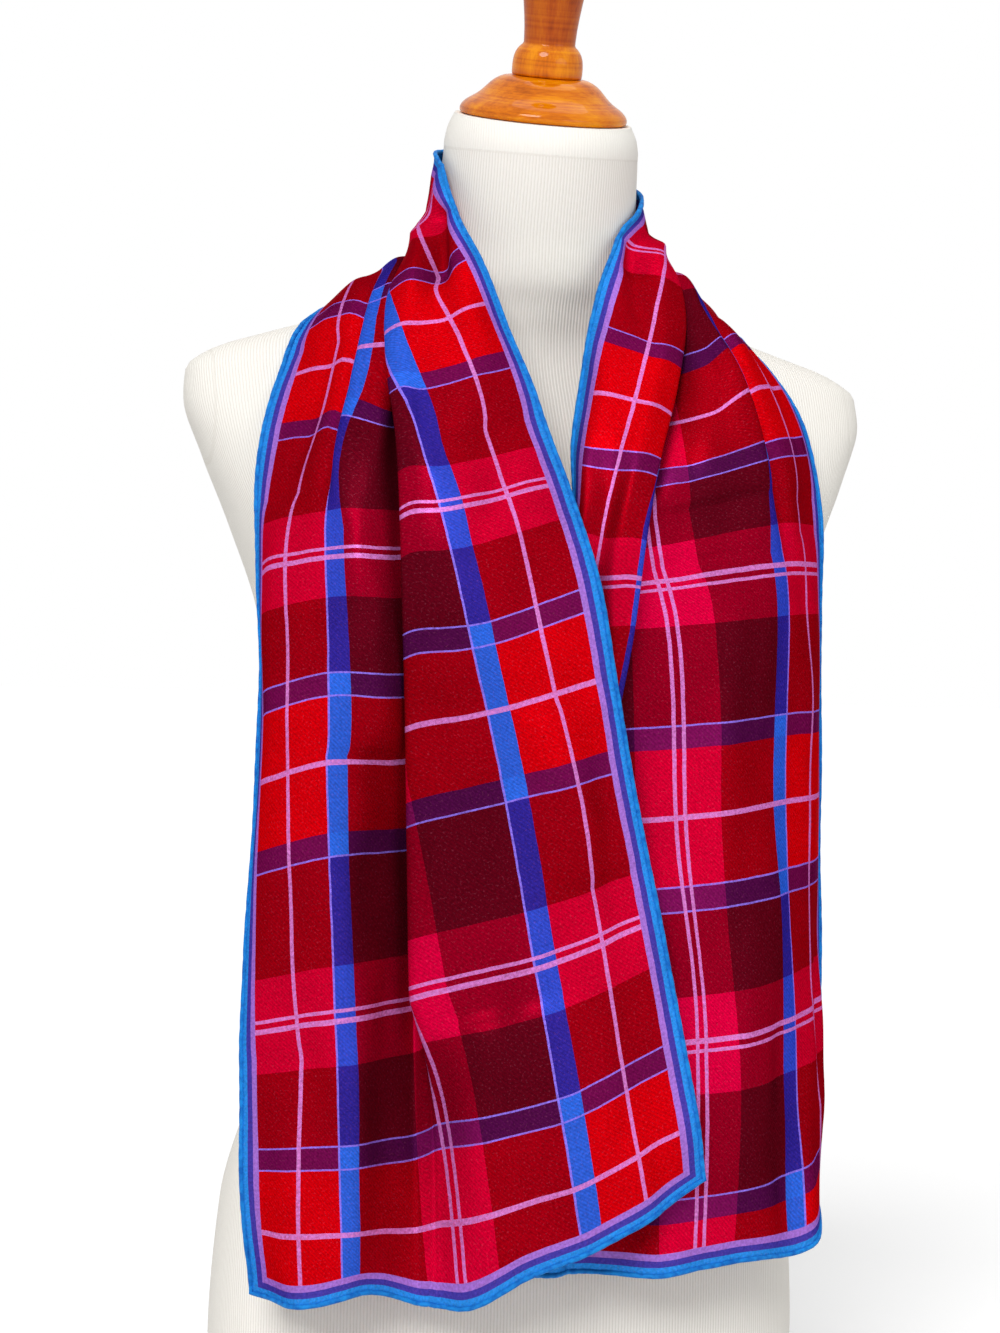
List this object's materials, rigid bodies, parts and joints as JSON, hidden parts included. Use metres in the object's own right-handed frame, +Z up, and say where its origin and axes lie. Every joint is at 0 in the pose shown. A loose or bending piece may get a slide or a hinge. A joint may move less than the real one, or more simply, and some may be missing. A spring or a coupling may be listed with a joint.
{
  "type": "oblong silk scarf on a limbless dress form",
  "caption": "Oblong silk scarf hung round the neck of a limbless dress form, one knife pleat along it, both ends falling in front, on a jersey-covered form with a turned cap and finial.",
  "frame": {"origin": "the middle of the flat foot of the dress form", "axes": "+Z up the form, the form's front faces -Y, and its left and right lie along X"},
  "size_m": [0.414, 0.3082, 0.9094],
  "materials": {
    "silk": "silk satin weave with a low sheen",
    "jersey": "matt off-white fine rib jersey",
    "varnished_wood": "glossy orange-brown varnish"
  },
  "bodies": {
    "root": {"scarf_left_fall": "silk", "scarf_neck_loop": "silk", "scarf_right_fall": "silk", "dress_form": "jersey", "neck_cap": "varnished_wood", "finial": "varnished_wood"}
  },
  "joints": []
}
